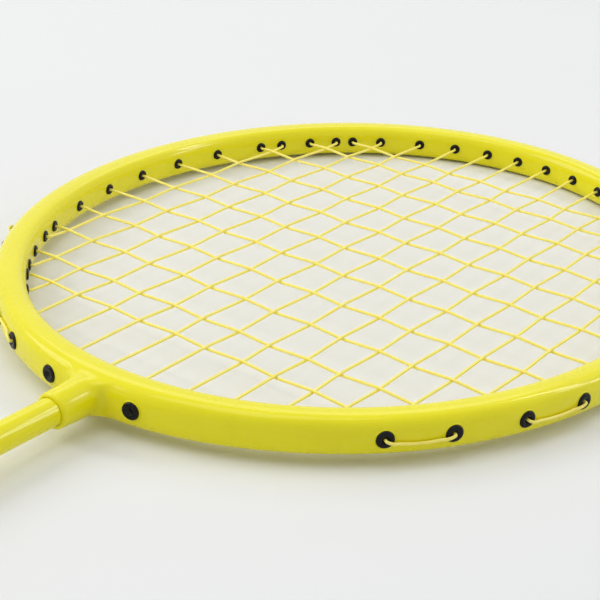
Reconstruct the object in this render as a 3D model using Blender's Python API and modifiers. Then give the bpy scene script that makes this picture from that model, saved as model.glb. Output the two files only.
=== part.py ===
"""A badminton racket, built as an assembly of its separate pieces.

The origin is the middle of the butt's end face. +X runs along the racket to the tip of the
head, +Y across it, and +Z is square to the strings. All sizes are in metres.

Pieces: the frame (the hoop and its throat socket are one moulding), the shaft, the cone, the
handle, the butt cap, the wound grip and its finishing tape, the main string and the cross
string, each one unbroken length woven through the other, and a grommet in every string hole.
"""
import math

import bmesh
import bpy
from mathutils import Matrix, Vector

OBJECT_NAME = "badminton_racket"

# --- the lengths that stack up along the racket, from the butt to the tip
CAP_THICKNESS = 0.0030
HANDLE_LENGTH = 0.1720
CONE_LENGTH = 0.0280
SHAFT_EXPOSED = 0.2039
SOCKET_LENGTH = 0.0140
HEAD_LENGTH = 0.2491

# --- the head's hoop
HEAD_WIDTH = 0.2031
FRAME_WIDTH = 0.0094          # in the plane of the strings
FRAME_HEIGHT = 0.0110         # square to the strings
SECTION_POWER = 3.0           # 2 is an ellipse, more is squarer
SWELL_WIDTH = 0.0014          # the hoop is this much wider at the throat, outwards
SWELL_HEIGHT = 0.0008         # and this much higher
SWELL_REACH = 0.0550          # to either side of the throat
HOOP_STEPS = 92
SECTION_STEPS = 16

# --- the throat socket, blended into the hoop
SOCKET_DIAMETER = 0.0098
SOCKET_ROOT = 0.0106          # its diameter where the blend starts
SOCKET_CHAMFER = 0.0006       # of its mouth, round the shaft
BLEND_LENGTH = 0.0045         # of the blend along the racket, from the hoop's outer face
BLEND_WIDTH = 0.0170          # of the blend's foot on the hoop's outer face
BLEND_COLUMNS = 6             # of the hoop's section, from the foot's lower to its upper edge
BLEND_STEPS = 6
BLEND_PULL = 1.1              # how far the blend follows each side before it turns

# --- the shaft
SHAFT_DIAMETER = 0.0077
SHAFT_IN_HANDLE = 0.0800
SHAFT_CHAMFER = 0.0005
ROUND_STEPS = 24

# --- the handle and what is on it: octagons, wider across than they are thick
HANDLE_WIDTH = 0.0232
HANDLE_THICKNESS = 0.0202
BUTT_FLARE = 0.0014           # how far each side swells out at the butt
FLARE_LENGTH = 0.0160
GRIP_THICKNESS = 0.0017
GRIP_END_MARGIN = 0.0110      # bare handle between the grip's end and the cone
LAP_PITCH = 0.0150            # from one turn of the grip tape to the next
LAP_GROOVE = 0.0007
TAPE_WIDTH = 0.0200
TAPE_THICKNESS = 0.0006
TAPE_ON_CONE = 0.0030         # how far the finishing tape reaches over the cone
CONE_SLEEVE = 0.0040          # the cone's straight part, as wide as the handle
CONE_TIP = 0.0106
CONE_STEPS = 7
CAP_CHAMFER = 0.0009
CAP_PEG_DIAMETER = 0.0080
CAP_PEG_LENGTH = 0.0070

# --- the strings
STRING_DIAMETER = 0.0008
MAIN_COUNT = 14
MAIN_ANGLE = 57.7             # degrees round the head from its tip to the outermost main's hole
CROSS_COUNT = 11
CROSS_ANGLE = 51.5            # the same to the hole of the last cross string but one
CROSS_END_ANGLE = 42.2        # and to that of the last, which stands closer to its neighbour
BEND_CLEARANCE = 0.0006       # from a grommet's tip to where its string bends
RUN_HEIGHT = 0.0015           # of a string's middle over the hoop's outer face
RUN_SHIFT = 0.0014            # main runs lie this far above the holes, cross runs below
INSIDE_SHIFT = 0.0031         # of a string's turn inside the hoop above the holes
KNOT_SWELL = 2.1              # a knot's thickness, in string thicknesses
KNOT_LENGTH = 0.0012

# --- the grommets
GROMMET_SIDES = 8
FLANGE_DIAMETER = 0.0048
FLANGE_THICKNESS = 0.0004
BARREL_DIAMETER = 0.0030
BORE_DIAMETER = 0.0016
GROMMET_TIP = 0.0008          # how far it stands out of the hoop's inner face
BUSH_DEPTH = 0.0028           # of a short bush, where a string turns inside the hoop
EMPTY_HOLE_Y = 0.0140         # the two empty grommets beside the throat

# --- fits
CLEARANCE = 0.0003            # between pieces that seat in or on each other
BORE_END_ROOM = 0.0010        # beyond the end of a shaft or a peg in its bore
CUT_OVERRUN = 0.0020          # how far a cutter runs past the face that it opens

# --- what follows from these
X_HANDLE = CAP_THICKNESS + CLEARANCE
X_CONE = X_HANDLE + HANDLE_LENGTH + CLEARANCE
X_CONE_TIP = X_CONE + CONE_LENGTH
X_SOCKET = X_CONE_TIP + SHAFT_EXPOSED
X_THROAT = X_SOCKET + SOCKET_LENGTH
X_HEAD = X_THROAT + HEAD_LENGTH / 2
X_TIP = X_THROAT + HEAD_LENGTH
HOOP_A = (HEAD_LENGTH - FRAME_WIDTH) / 2
HOOP_B = (HEAD_WIDTH - FRAME_WIDTH) / 2
FACE = FRAME_WIDTH / 2
BEND_OFFSET = -(FACE + GROMMET_TIP + BEND_CLEARANCE)
X_BLEND = X_THROAT - BLEND_LENGTH
WEAVE = (STRING_DIAMETER + CLEARANCE) / 2
SHAFT_BORE = SHAFT_DIAMETER + 2 * CLEARANCE
OCTAGON = 8
TIP, THROAT = 1, -1
FAR, NEAR = 1, -1

parts = None
cutters = None


# --- scene, materials and objects

def clear_scene():
    for item in list(bpy.data.objects):
        bpy.data.objects.remove(item, do_unlink=True)


def new_collection(name):
    collection = bpy.data.collections.new(name)
    bpy.context.scene.collection.children.link(collection)
    return collection


def make_material(name, colour, roughness, coat=0.0):
    material = bpy.data.materials.new(name)
    material.use_nodes = True
    shader = material.node_tree.nodes["Principled BSDF"]
    shader.inputs["Base Color"].default_value = (*colour, 1.0)
    shader.inputs["Roughness"].default_value = roughness
    shader.inputs["Coat Weight"].default_value = coat
    material.diffuse_color = (*colour, 1.0)
    return material


def make_materials():
    return {
        "frame_paint": make_material("frame_paint", (0.80, 0.76, 0.02), 0.22, coat=1.0),
        "string": make_material("string", (0.90, 0.72, 0.10), 0.30),
        "grommet": make_material("grommet", (0.012, 0.012, 0.014), 0.30),
        "cone_plastic": make_material("cone_plastic", (0.02, 0.02, 0.022), 0.35),
        "handle_wood": make_material("handle_wood", (0.62, 0.44, 0.24), 0.60),
        "grip_tape": make_material("grip_tape", (0.03, 0.03, 0.032), 0.75),
        "finishing_tape": make_material("finishing_tape", (0.02, 0.02, 0.022), 0.45),
        "cap_plastic": make_material("cap_plastic", (0.02, 0.02, 0.022), 0.40),
    }


def link(name, data, collection):
    item = bpy.data.objects.new(name, data)
    collection.objects.link(item)
    return item


def add_part(name, mesh, material):
    mesh.materials.clear()
    mesh.materials.append(material)
    mesh.shade_smooth()
    mesh.set_sharp_from_angle(angle=math.radians(35))
    return link(name, mesh, parts)


def add_cutter(name, mesh):
    item = link(name, mesh, cutters)
    item.hide_render = True
    item.display_type = "WIRE"
    return item


def combine(item, other, operation):
    modifier = item.modifiers.new(other.name, "BOOLEAN")
    modifier.object = other
    modifier.operation = operation
    modifier.solver = "EXACT"


def as_mesh(item):
    """The item's evaluated mesh, welded; the item itself is removed."""
    bpy.context.view_layer.update()
    evaluated = item.evaluated_get(bpy.context.evaluated_depsgraph_get())
    mesh = bpy.data.meshes.new_from_object(evaluated)
    mesh.transform(item.matrix_world)
    shape = bmesh.new()
    shape.from_mesh(mesh)
    bmesh.ops.remove_doubles(shape, verts=shape.verts, dist=1e-6)
    bmesh.ops.recalc_face_normals(shape, faces=shape.faces)
    shape.to_mesh(mesh)
    shape.free()
    mesh.name = item.name
    bpy.data.objects.remove(item, do_unlink=True)
    return mesh


def joined(meshes, name):
    """Several meshes that don't touch, in one mesh."""
    shape = bmesh.new()
    for mesh in meshes:
        shape.from_mesh(mesh)
    result = bpy.data.meshes.new(name)
    shape.to_mesh(result)
    shape.free()
    return result


# --- basic shapes

def turned(name, profile, steps):
    """Turns a closed (radius, height) profile about Z and lays it along +X."""
    mesh = bpy.data.meshes.new(name)
    edges = [(i, (i + 1) % len(profile)) for i in range(len(profile))]
    if profile[0][0] == 0 and profile[-1][0] == 0:
        edges.pop()
    mesh.from_pydata([(radius, 0, height) for radius, height in profile], edges, [])
    item = link(name, mesh, parts)
    screw = item.modifiers.new("turn", "SCREW")
    screw.axis = "Z"
    screw.steps = steps
    screw.render_steps = steps
    screw.use_merge_vertices = True
    screw.merge_threshold = 0.00001
    result = as_mesh(item)
    result.transform(Matrix.Rotation(math.pi / 2, 4, "Y"))
    return result


def octagonal(name, profile):
    """An octagon with its flats up and down; a profile's radius is half its width."""
    corner = 1 / math.cos(math.pi / OCTAGON)
    mesh = turned(name, [(radius * corner, height) for radius, height in profile], OCTAGON)
    flatten = Matrix.Diagonal((1, 1, HANDLE_THICKNESS / HANDLE_WIDTH, 1))
    mesh.transform(flatten @ Matrix.Rotation(math.pi / OCTAGON, 4, "X"))
    return mesh


def cylinder(name, start, end, radius, sides):
    """A closed cylinder between two points."""
    start, end = Vector(start), Vector(end)
    turn = (end - start).to_track_quat("Z", "X").to_matrix().to_4x4()
    shape = bmesh.new()
    bmesh.ops.create_cone(shape, cap_ends=True, segments=sides, radius1=radius,
                          radius2=radius, depth=(end - start).length,
                          matrix=Matrix.Translation((start + end) / 2) @ turn)
    mesh = bpy.data.meshes.new(name)
    shape.to_mesh(mesh)
    shape.free()
    return mesh


def tube_curve(name, route, radius, swells=None):
    """A six-sided tube with closed ends along a route of points."""
    curve = bpy.data.curves.new(name, "CURVE")
    curve.dimensions = "3D"
    curve.bevel_depth = radius
    curve.bevel_resolution = 1
    curve.use_fill_caps = True
    spline = curve.splines.new("POLY")
    spline.points.add(len(route) - 1)
    for index, place in enumerate(route):
        spline.points[index].co = (*place, 1)
        spline.points[index].radius = swells[index] if swells else 1
    return curve


def loft(name, rings):
    """A closed body through rings of points, with flat ends."""
    shape = bmesh.new()
    rows = [[shape.verts.new(place) for place in ring] for ring in rings]
    for before, after in zip(rows, rows[1:]):
        for index in range(len(before)):
            beside = (index + 1) % len(before)
            shape.faces.new((before[index], before[beside], after[beside], after[index]))
    shape.faces.new(rows[0])
    shape.faces.new(rows[-1])
    bmesh.ops.recalc_face_normals(shape, faces=shape.faces)
    mesh = bpy.data.meshes.new(name)
    shape.to_mesh(mesh)
    shape.free()
    return mesh


def superellipse(width, height, power, steps):
    """Points round a closed curve, counter-clockwise from (width / 2, 0)."""
    points = []
    for index in range(steps):
        turn = 2 * math.pi * index / steps
        across, up = math.cos(turn), math.sin(turn)
        points.append((math.copysign(abs(across) ** (2 / power), across) * width / 2,
                       math.copysign(abs(up) ** (2 / power), up) * height / 2))
    return points


# --- the hoop's centre line, and places measured from it

def hoop_normal(turn):
    return Vector((HOOP_B * math.cos(turn), HOOP_A * math.sin(turn), 0)).normalized()


def hoop_point(turn, offset=0.0, z=0.0):
    """A point at an offset outwards from the hoop's centre line."""
    centre = Vector((X_HEAD + HOOP_A * math.cos(turn), HOOP_B * math.sin(turn), z))
    return centre + hoop_normal(turn) * offset


def swell(turn):
    """How much of the throat's swell the hoop has at a turn, from 0 to 1."""
    across = abs(HOOP_B * math.sin(turn)) / SWELL_REACH
    if math.cos(turn) > 0 or across > 1:
        return 0.0
    return (1 + math.cos(math.pi * across)) / 2


def outer_face(turn):
    """How far the outer face is from the centre line."""
    return FACE + SWELL_WIDTH * swell(turn)


def quarter_turn_where(measure, wanted):
    """The turn in the first quarter where a growing measure reaches the wanted value."""
    low, high = 0.0, math.pi / 2
    for _ in range(50):
        middle = (low + high) / 2
        if measure(middle) < wanted:
            low = middle
        else:
            high = middle
    return (low + high) / 2


def main_turn(y, end):
    """Where a main string at y goes through the hoop, at the tip or the throat."""
    turn = quarter_turn_where(lambda t: hoop_point(t, BEND_OFFSET).y, abs(y))
    turn = turn if end == TIP else math.pi - turn
    return math.copysign(turn, y)


def cross_turn(x, side):
    """Where a cross string at x goes through the hoop, on the far or the near side."""
    reach = abs(x - X_HEAD)
    turn = quarter_turn_where(lambda t: X_HEAD - hoop_point(t, BEND_OFFSET).x, -reach)
    turn = turn if x > X_HEAD else math.pi - turn
    return side * turn


# --- the string pattern

def bend_place(angle):
    """Where a string bends into its hole, at an angle in degrees round from the tip."""
    return hoop_point(math.radians(angle), BEND_OFFSET)


def main_y(index):
    """The mains are evenly spaced."""
    return bend_place(MAIN_ANGLE).y * (2 * index / (MAIN_COUNT - 1) - 1)


def cross_x(index):
    """The cross strings are evenly spaced, apart from the first and the last."""
    if index in (0, CROSS_COUNT - 1):
        reach, part = bend_place(CROSS_END_ANGLE).x - X_HEAD, 2 * index / (CROSS_COUNT - 1) - 1
    else:
        reach, part = bend_place(CROSS_ANGLE).x - X_HEAD, 2 * (index - 1) / (CROSS_COUNT - 3) - 1
    return X_HEAD + reach * part


def main_is_over(main, cross):
    return (main + cross) % 2 == 0


def turns_inside(main, end):
    """At the throat, beside the socket and along the near side, mains turn in the hoop."""
    return end == THROAT and main < MAIN_COUNT / 2 + 2


def main_strand(main):
    """One main string's points inside the hoop, from the throat to the tip."""
    y = main_y(main)
    first = hoop_point(main_turn(y, THROAT), BEND_OFFSET)
    last = hoop_point(main_turn(y, TIP), BEND_OFFSET)
    points = [first]
    for cross in range(CROSS_COUNT):
        x = cross_x(cross)
        if first.x < x < last.x:
            points.append(Vector((x, y, WEAVE if main_is_over(main, cross) else -WEAVE)))
    return points + [last]


def cross_strand(cross):
    """One cross string's points inside the hoop, from the near to the far side."""
    x = cross_x(cross)
    first = hoop_point(cross_turn(x, NEAR), BEND_OFFSET)
    last = hoop_point(cross_turn(x, FAR), BEND_OFFSET)
    points = [first]
    for main in range(MAIN_COUNT):
        y = main_y(main)
        if first.y < y < last.y:
            points.append(Vector((x, y, -WEAVE if main_is_over(main, cross) else WEAVE)))
    return points + [last]


def outside_run(start, end, shift):
    """Out of one hole, along the hoop's outer face and into the next."""
    points = []
    for part in (0, 0.25, 0.5, 0.75, 1):
        turn = start + (end - start) * part
        side = shift * max(0.0, math.sin(math.pi * part)) ** 0.5
        points.append(hoop_point(turn, outer_face(turn) + RUN_HEIGHT, side))
    return points


def inside_turn(start, end):
    """Inside the hoop from one hole to the next, above any hole between the two."""
    points = [hoop_point(start)]
    for part in (0.25, 0.5, 0.75):
        points.append(hoop_point(start + (end - start) * part, 0, INSIDE_SHIFT))
    return points + [hoop_point(end)]


def shorter_way(start, end):
    """The end turn on the same side of the throat as the start turn."""
    if abs(end - start) > math.pi:
        end -= math.copysign(2 * math.pi, end - start)
    return end


def knot(turn, shift):
    """The last points of a string that ends in a knot on the hoop's outer face."""
    side = math.copysign(STRING_DIAMETER * KNOT_SWELL / 2, shift)
    height = outer_face(turn) + RUN_HEIGHT + STRING_DIAMETER / 4
    first = hoop_point(turn, height, side)
    along = Vector((0, 0, math.copysign(KNOT_LENGTH, shift)))
    points = [hoop_point(turn, height - STRING_DIAMETER), first, first + along / 2,
              first + along, first + along * 1.3]
    return points, [1, 1, KNOT_SWELL, KNOT_SWELL, 1]


def main_route():
    """The main string in one length: up one main, across the hoop and down the next."""
    route = [hoop_point(main_turn(main_y(0), THROAT))]
    for main in range(MAIN_COUNT):
        strand = main_strand(main)
        end = TIP if main % 2 == 0 else THROAT
        route += strand if end == TIP else reversed(strand)
        if main + 1 < MAIN_COUNT:
            start = main_turn(main_y(main), end)
            finish = shorter_way(start, main_turn(main_y(main + 1), end))
            if turns_inside(main, end):
                route += inside_turn(start, finish)
            else:
                route += outside_run(start, finish, RUN_SHIFT)
    last, swells = knot(main_turn(main_y(MAIN_COUNT - 1), THROAT), RUN_SHIFT)
    return route + last, [1] * len(route) + swells


def cross_route():
    """The cross string in one length, from the throat to the tip."""
    first, first_swells = knot(cross_turn(cross_x(0), FAR), -RUN_SHIFT)
    route = first[::-1]
    for cross in range(CROSS_COUNT):
        strand = cross_strand(cross)
        side = NEAR if cross % 2 == 0 else FAR
        route += strand if side == FAR else reversed(strand)
        if cross + 1 < CROSS_COUNT:
            start = cross_turn(cross_x(cross), side)
            finish = cross_turn(cross_x(cross + 1), side)
            route += outside_run(start, finish, -RUN_SHIFT)
    last, swells = knot(cross_turn(cross_x(CROSS_COUNT - 1), NEAR), -RUN_SHIFT)
    middle = [1] * (len(route) - len(first))
    return route + last, first_swells[::-1] + middle + swells


def make_strings(material):
    for name, (route, swells) in (("main_string", main_route()),
                                  ("cross_string", cross_route())):
        item = link(name, tube_curve(name, route, STRING_DIAMETER / 2, swells), parts)
        mesh = as_mesh(item)
        add_part(name, mesh, material)


# --- the holes and their grommets

def string_holes():
    """(name, turn, kind) for each string hole; kind is through or bush."""
    holes = []
    for end, word in ((TIP, "tip"), (THROAT, "throat")):
        for main in range(MAIN_COUNT):
            kind = "bush" if turns_inside(main, end) or near_throat_end(main, end) else "through"
            holes.append((f"grommet_main_{main + 1:02d}_{word}", main_turn(main_y(main), end), kind))
    for side, word in ((NEAR, "near"), (FAR, "far")):
        for cross in range(CROSS_COUNT):
            turn = cross_turn(cross_x(cross), side)
            holes.append((f"grommet_cross_{cross + 1:02d}_{word}", turn, "through"))
    return holes


def near_throat_end(main, end):
    """The main string starts inside the hoop, at the near end of the throat."""
    return end == THROAT and main == 0


def empty_turns():
    """The two empty grommets' places on the hoop's outer face, beside the throat."""
    def outer_y(turn):
        return hoop_point(math.pi - turn, outer_face(math.pi - turn)).y
    turn = quarter_turn_where(outer_y, EMPTY_HOLE_Y)
    return [(math.pi - turn, "far"), (turn - math.pi, "near")]


def grommet_mesh(name, turn, kind):
    """A flanged sleeve from the outer face, or a short bush in the inner face."""
    flange, barrel, bore = FLANGE_DIAMETER / 2, BARREL_DIAMETER / 2, BORE_DIAMETER / 2
    seat = outer_face(turn) + CLEARANCE
    if kind == "bush":
        profile = [(bore, -FACE - GROMMET_TIP), (barrel, -FACE - GROMMET_TIP),
                   (barrel, BUSH_DEPTH - FACE), (bore, BUSH_DEPTH - FACE)]
    else:
        inner = -FACE - GROMMET_TIP if kind == "through" else seat - BUSH_DEPTH
        profile = [(bore, inner), (barrel, inner), (barrel, seat), (flange, seat),
                   (flange, seat + FLANGE_THICKNESS), (bore, seat + FLANGE_THICKNESS)]
    mesh = turned(name, profile, GROMMET_SIDES)
    angle = math.atan2(hoop_normal(turn).y, hoop_normal(turn).x)
    mesh.transform(Matrix.Translation(hoop_point(turn)) @ Matrix.Rotation(angle, 4, "Z"))
    return mesh


def make_grommets(material):
    """The two mains beside the socket go straight into the moulding, without a bush."""
    beside_socket = (MAIN_COUNT // 2, MAIN_COUNT // 2 + 1)
    for name, turn, kind in string_holes():
        if name in [f"grommet_main_{main:02d}_throat" for main in beside_socket]:
            continue
        add_part(name, grommet_mesh(name, turn, kind), material)
    for turn, word in empty_turns():
        name = f"grommet_empty_{word}"
        add_part(name, grommet_mesh(name, turn, "empty"), material)


# --- the frame

def hoop_turns():
    """The turns of the hoop's sections: first those across the blend's foot, far to near."""
    def outer_y(turn):
        return hoop_point(math.pi - turn, outer_face(math.pi - turn)).y
    foot = quarter_turn_where(outer_y, BLEND_WIDTH / 2)
    across = [math.pi + foot * (2 * step / BLEND_COLUMNS - 1)
              for step in range(BLEND_COLUMNS + 1)]
    rest = 2 * (math.pi - foot) / HOOP_STEPS
    return across + [math.pi + foot + rest * step for step in range(1, HOOP_STEPS)]


def hoop_section(turn):
    """The hoop's section at a turn, from its outermost point round by the top."""
    gain = swell(turn)
    outline = superellipse(FRAME_WIDTH + SWELL_WIDTH * gain, FRAME_HEIGHT + SWELL_HEIGHT * gain,
                           SECTION_POWER, SECTION_STEPS)
    return [hoop_point(turn, across + SWELL_WIDTH * gain / 2, up) for across, up in outline]


def socket_radius(x):
    part = (x - X_SOCKET) / (X_BLEND - X_SOCKET)
    return (SOCKET_DIAMETER + (SOCKET_ROOT - SOCKET_DIAMETER) * part) / 2


def socket_ring(x, inset=0.0):
    """Points round the socket at x, beginning halfway between its far side and its top."""
    count = 4 * BLEND_COLUMNS
    turns = [math.pi / 4 + 2 * math.pi * step / count for step in range(count)]
    radius = socket_radius(x) - inset
    return [Vector((x, radius * math.cos(turn), radius * math.sin(turn))) for turn in turns]


def blend_curve(start, start_pull, end, end_pull):
    """Points between two ends of a smooth curve that leaves each along its pull."""
    points = []
    for step in range(1, BLEND_STEPS):
        part = step / BLEND_STEPS
        points.append(start * (2 * part ** 3 - 3 * part ** 2 + 1)
                      + start_pull * (part ** 3 - 2 * part ** 2 + part)
                      + end * (3 * part ** 2 - 2 * part ** 3)
                      + end_pull * (part ** 3 - part ** 2))
    return points


def frame_mesh():
    """The hoop and the throat socket in one skin, with a smooth blend between the two."""
    shape = bmesh.new()
    turns = hoop_turns()
    half = BLEND_COLUMNS // 2
    hoop = [[shape.verts.new(place) for place in hoop_section(turn)] for turn in turns]
    for row in range(len(turns)):
        for column in range(-SECTION_STEPS // 2, SECTION_STEPS // 2):
            if row < BLEND_COLUMNS and -half <= column < half:
                continue
            after = hoop[(row + 1) % len(turns)]
            shape.faces.new((hoop[row][column], after[column],
                             after[column + 1], hoop[row][column + 1]))

    # round the blend's foot, beginning at its far upper corner
    foot = [(row, half) for row in range(BLEND_COLUMNS)]
    foot += [(BLEND_COLUMNS, half - step) for step in range(BLEND_COLUMNS)]
    foot += [(BLEND_COLUMNS - step, -half) for step in range(BLEND_COLUMNS)]
    foot += [(0, step - half) for step in range(BLEND_COLUMNS)]
    mouth = socket_ring(X_SOCKET, SOCKET_CHAMFER)
    rim, root = socket_ring(X_SOCKET + SOCKET_CHAMFER), socket_ring(X_BLEND)
    columns = []
    for index, (row, column) in enumerate(foot):
        place = hoop[row][column].co
        along = (hoop[row - 1][column].co - hoop[row + 1][column].co).normalized()
        over = (hoop[row][column + 1].co - hoop[row][column - 1].co).normalized()
        turn = math.pi / 4 + 2 * math.pi * index / len(foot)
        away = (along * math.cos(turn) + over * math.sin(turn)).normalized()
        pull = (place - root[index]).length * BLEND_PULL
        middle = blend_curve(root[index], (root[index] - rim[index]).normalized() * pull,
                             place, away * pull)
        new = [shape.verts.new(point)
               for point in [mouth[index], rim[index], root[index]] + middle]
        columns.append(new + [hoop[row][column]])
    for before, after in zip(columns, columns[1:] + columns[:1]):
        for step in range(len(before) - 1):
            shape.faces.new((before[step], before[step + 1], after[step + 1], after[step]))
    shape.faces.new([column[0] for column in columns])
    bmesh.ops.recalc_face_normals(shape, faces=shape.faces)
    mesh = bpy.data.meshes.new("frame")
    shape.to_mesh(mesh)
    shape.free()
    return mesh


def hole_cutters():
    """One straight cutter for each string hole and for the two empty grommets."""
    radius = BARREL_DIAMETER / 2 + CLEARANCE
    meshes = []
    for name, turn, kind in string_holes():
        open_end = outer_face(turn) + CUT_OVERRUN
        depth = open_end if kind == "through" else BUSH_DEPTH + CLEARANCE - FACE
        meshes.append(cylinder(name, hoop_point(turn, -FACE - CUT_OVERRUN),
                               hoop_point(turn, depth), radius, GROMMET_SIDES))
    for turn, word in empty_turns():
        top = outer_face(turn)
        meshes.append(cylinder(word, hoop_point(turn, top - BUSH_DEPTH),
                               hoop_point(turn, top + CUT_OVERRUN), radius, GROMMET_SIDES))
    return joined(meshes, "string_holes")


def tunnel_cutters():
    """Room in the hoop for each string that turns inside it, and for the first end."""
    radius = STRING_DIAMETER / 2 + 2 * CLEARANCE
    mouth = BUSH_DEPTH - FACE
    meshes = []
    for main in range(1, MAIN_COUNT - 1, 2):
        if not turns_inside(main, THROAT):
            continue
        start = main_turn(main_y(main), THROAT)
        finish = shorter_way(start, main_turn(main_y(main + 1), THROAT))
        route = ([hoop_point(start, mouth)] + inside_turn(start, finish)
                 + [hoop_point(finish, mouth)])
        item = link("tunnel", tube_curve("tunnel", route, radius), cutters)
        meshes.append(as_mesh(item))
    first = main_turn(main_y(0), THROAT)
    meshes.append(cylinder("first_end", hoop_point(first, mouth),
                           hoop_point(first, BORE_END_ROOM), radius, GROMMET_SIDES))
    return joined(meshes, "string_tunnels")


def make_frame(material):
    frame = add_part("frame", frame_mesh(), material)
    bore = cylinder("shaft_bore", (X_SOCKET - CUT_OVERRUN, 0, 0),
                    (X_THROAT + BORE_END_ROOM, 0, 0), SHAFT_BORE / 2, ROUND_STEPS)
    combine(frame, add_cutter("shaft_bore", bore), "DIFFERENCE")
    combine(frame, add_cutter("string_holes", hole_cutters()), "DIFFERENCE")
    combine(frame, add_cutter("string_tunnels", tunnel_cutters()), "DIFFERENCE")


# --- the shaft, the handle and what is on it

def make_shaft(material):
    radius = SHAFT_DIAMETER / 2
    start = X_HANDLE + HANDLE_LENGTH - SHAFT_IN_HANDLE
    end = X_THROAT
    profile = [(0, end), (radius - SHAFT_CHAMFER, end), (radius, end - SHAFT_CHAMFER),
               (radius, start + SHAFT_CHAMFER), (radius - SHAFT_CHAMFER, start), (0, start)]
    add_part("shaft", turned("shaft", profile, ROUND_STEPS), material)


def cone_ring(x, half_width, half_thickness, roundness):
    """Points round the cone at x: the handle's octagon at roundness 0, an ellipse at 1."""
    points = []
    for step in range(ROUND_STEPS):
        turn = 2 * math.pi * (step + 0.5) / ROUND_STEPS
        from_flat = (turn + math.pi / OCTAGON) % (2 * math.pi / OCTAGON) - math.pi / OCTAGON
        reach = (1 - roundness) / math.cos(from_flat) + roundness
        points.append((x, half_width * reach * math.cos(turn),
                       half_thickness * reach * math.sin(turn)))
    return points


def make_cone(material):
    """It is as wide as the handle under the finishing tape, and sweeps in to the shaft."""
    rings = [cone_ring(X_CONE, HANDLE_WIDTH / 2, HANDLE_THICKNESS / 2, 0)]
    start = X_CONE + CONE_SLEEVE
    for step in range(CONE_STEPS + 1):
        part = step / CONE_STEPS
        sweep = math.sin(part * math.pi / 2)
        rings.append(cone_ring(start + (X_CONE_TIP - start) * part,
                               (HANDLE_WIDTH + (CONE_TIP - HANDLE_WIDTH) * sweep) / 2,
                               (HANDLE_THICKNESS + (CONE_TIP - HANDLE_THICKNESS) * sweep) / 2,
                               sweep))
    cone = add_part("cone", loft("cone", rings), material)
    bore = cylinder("cone_bore", (X_CONE - CUT_OVERRUN, 0, 0), (X_CONE_TIP + CUT_OVERRUN, 0, 0),
                    SHAFT_BORE / 2, ROUND_STEPS)
    combine(cone, add_cutter("cone_bore", bore), "DIFFERENCE")


def half_width_at(x):
    """Half the handle's width at x: straight, and flared near the butt."""
    part = max(0.0, 1 - (x - X_HANDLE) / FLARE_LENGTH)
    return HANDLE_WIDTH / 2 + BUTT_FLARE * part ** 2


def handle_stations(start, end):
    """Places along the handle, closer together where it flares."""
    flare = [X_HANDLE + FLARE_LENGTH * part for part in (0.25, 0.5, 0.75, 1.0)]
    return [start] + [x for x in flare if start < x < end] + [end]


def make_handle(material):
    end = X_HANDLE + HANDLE_LENGTH
    outer = [(half_width_at(x), x) for x in handle_stations(X_HANDLE, end)]
    mesh = octagonal("handle", [(0, end)] + outer[::-1] + [(0, X_HANDLE)])
    handle = add_part("handle", mesh, material)
    bottom = end - SHAFT_IN_HANDLE - BORE_END_ROOM
    shaft_bore = cylinder("handle_bore", (bottom, 0, 0), (end + CUT_OVERRUN, 0, 0),
                          SHAFT_BORE / 2, ROUND_STEPS)
    peg_bore = cylinder("peg_bore", (X_HANDLE - CUT_OVERRUN, 0, 0),
                        (CAP_THICKNESS + CAP_PEG_LENGTH + BORE_END_ROOM, 0, 0),
                        CAP_PEG_DIAMETER / 2 + CLEARANCE, ROUND_STEPS)
    combine(handle, add_cutter("handle_bore", shaft_bore), "DIFFERENCE")
    combine(handle, add_cutter("peg_bore", peg_bore), "DIFFERENCE")


def make_butt_cap(material):
    radius = half_width_at(X_HANDLE) + GRIP_THICKNESS
    profile = [(0, CAP_THICKNESS), (radius, CAP_THICKNESS), (radius, CAP_CHAMFER),
               (radius - CAP_CHAMFER, 0), (0, 0)]
    cap = add_part("butt_cap", octagonal("butt_cap", profile), material)
    peg = cylinder("cap_peg", (CAP_THICKNESS / 2, 0, 0), (CAP_THICKNESS + CAP_PEG_LENGTH, 0, 0),
                   CAP_PEG_DIAMETER / 2, ROUND_STEPS)
    combine(cap, add_cutter("cap_peg", peg), "UNION")


def grip_end():
    return X_HANDLE + HANDLE_LENGTH - GRIP_END_MARGIN


def lap_route():
    """The edge of the wound grip tape: a helix round the octagon's corners."""
    start, end = X_HANDLE + LAP_PITCH / 2, grip_end() - LAP_PITCH / 2
    steps = int((end - start) / LAP_PITCH * OCTAGON)
    route = []
    for step in range(steps + 1):
        x = start + LAP_PITCH * step / OCTAGON
        turn = 2 * math.pi * (step + 0.5) / OCTAGON
        radius = (half_width_at(x) + GRIP_THICKNESS) / math.cos(math.pi / OCTAGON)
        flatten = HANDLE_THICKNESS / HANDLE_WIDTH
        route.append((x, radius * math.cos(turn), radius * math.sin(turn) * flatten))
    return route


def make_grip(material):
    """The wound grip: a sleeve on the handle with the groove that its laps leave."""
    stations = handle_stations(X_HANDLE, grip_end())
    inner = [(half_width_at(x) + CLEARANCE, x) for x in stations]
    outer = [(half_width_at(x) + GRIP_THICKNESS, x) for x in stations]
    grip = add_part("grip", octagonal("grip", inner + outer[::-1]), material)
    groove = as_mesh(link("lap_groove", tube_curve("lap_groove", lap_route(), LAP_GROOVE), cutters))
    combine(grip, add_cutter("lap_groove", groove), "DIFFERENCE")


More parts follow.
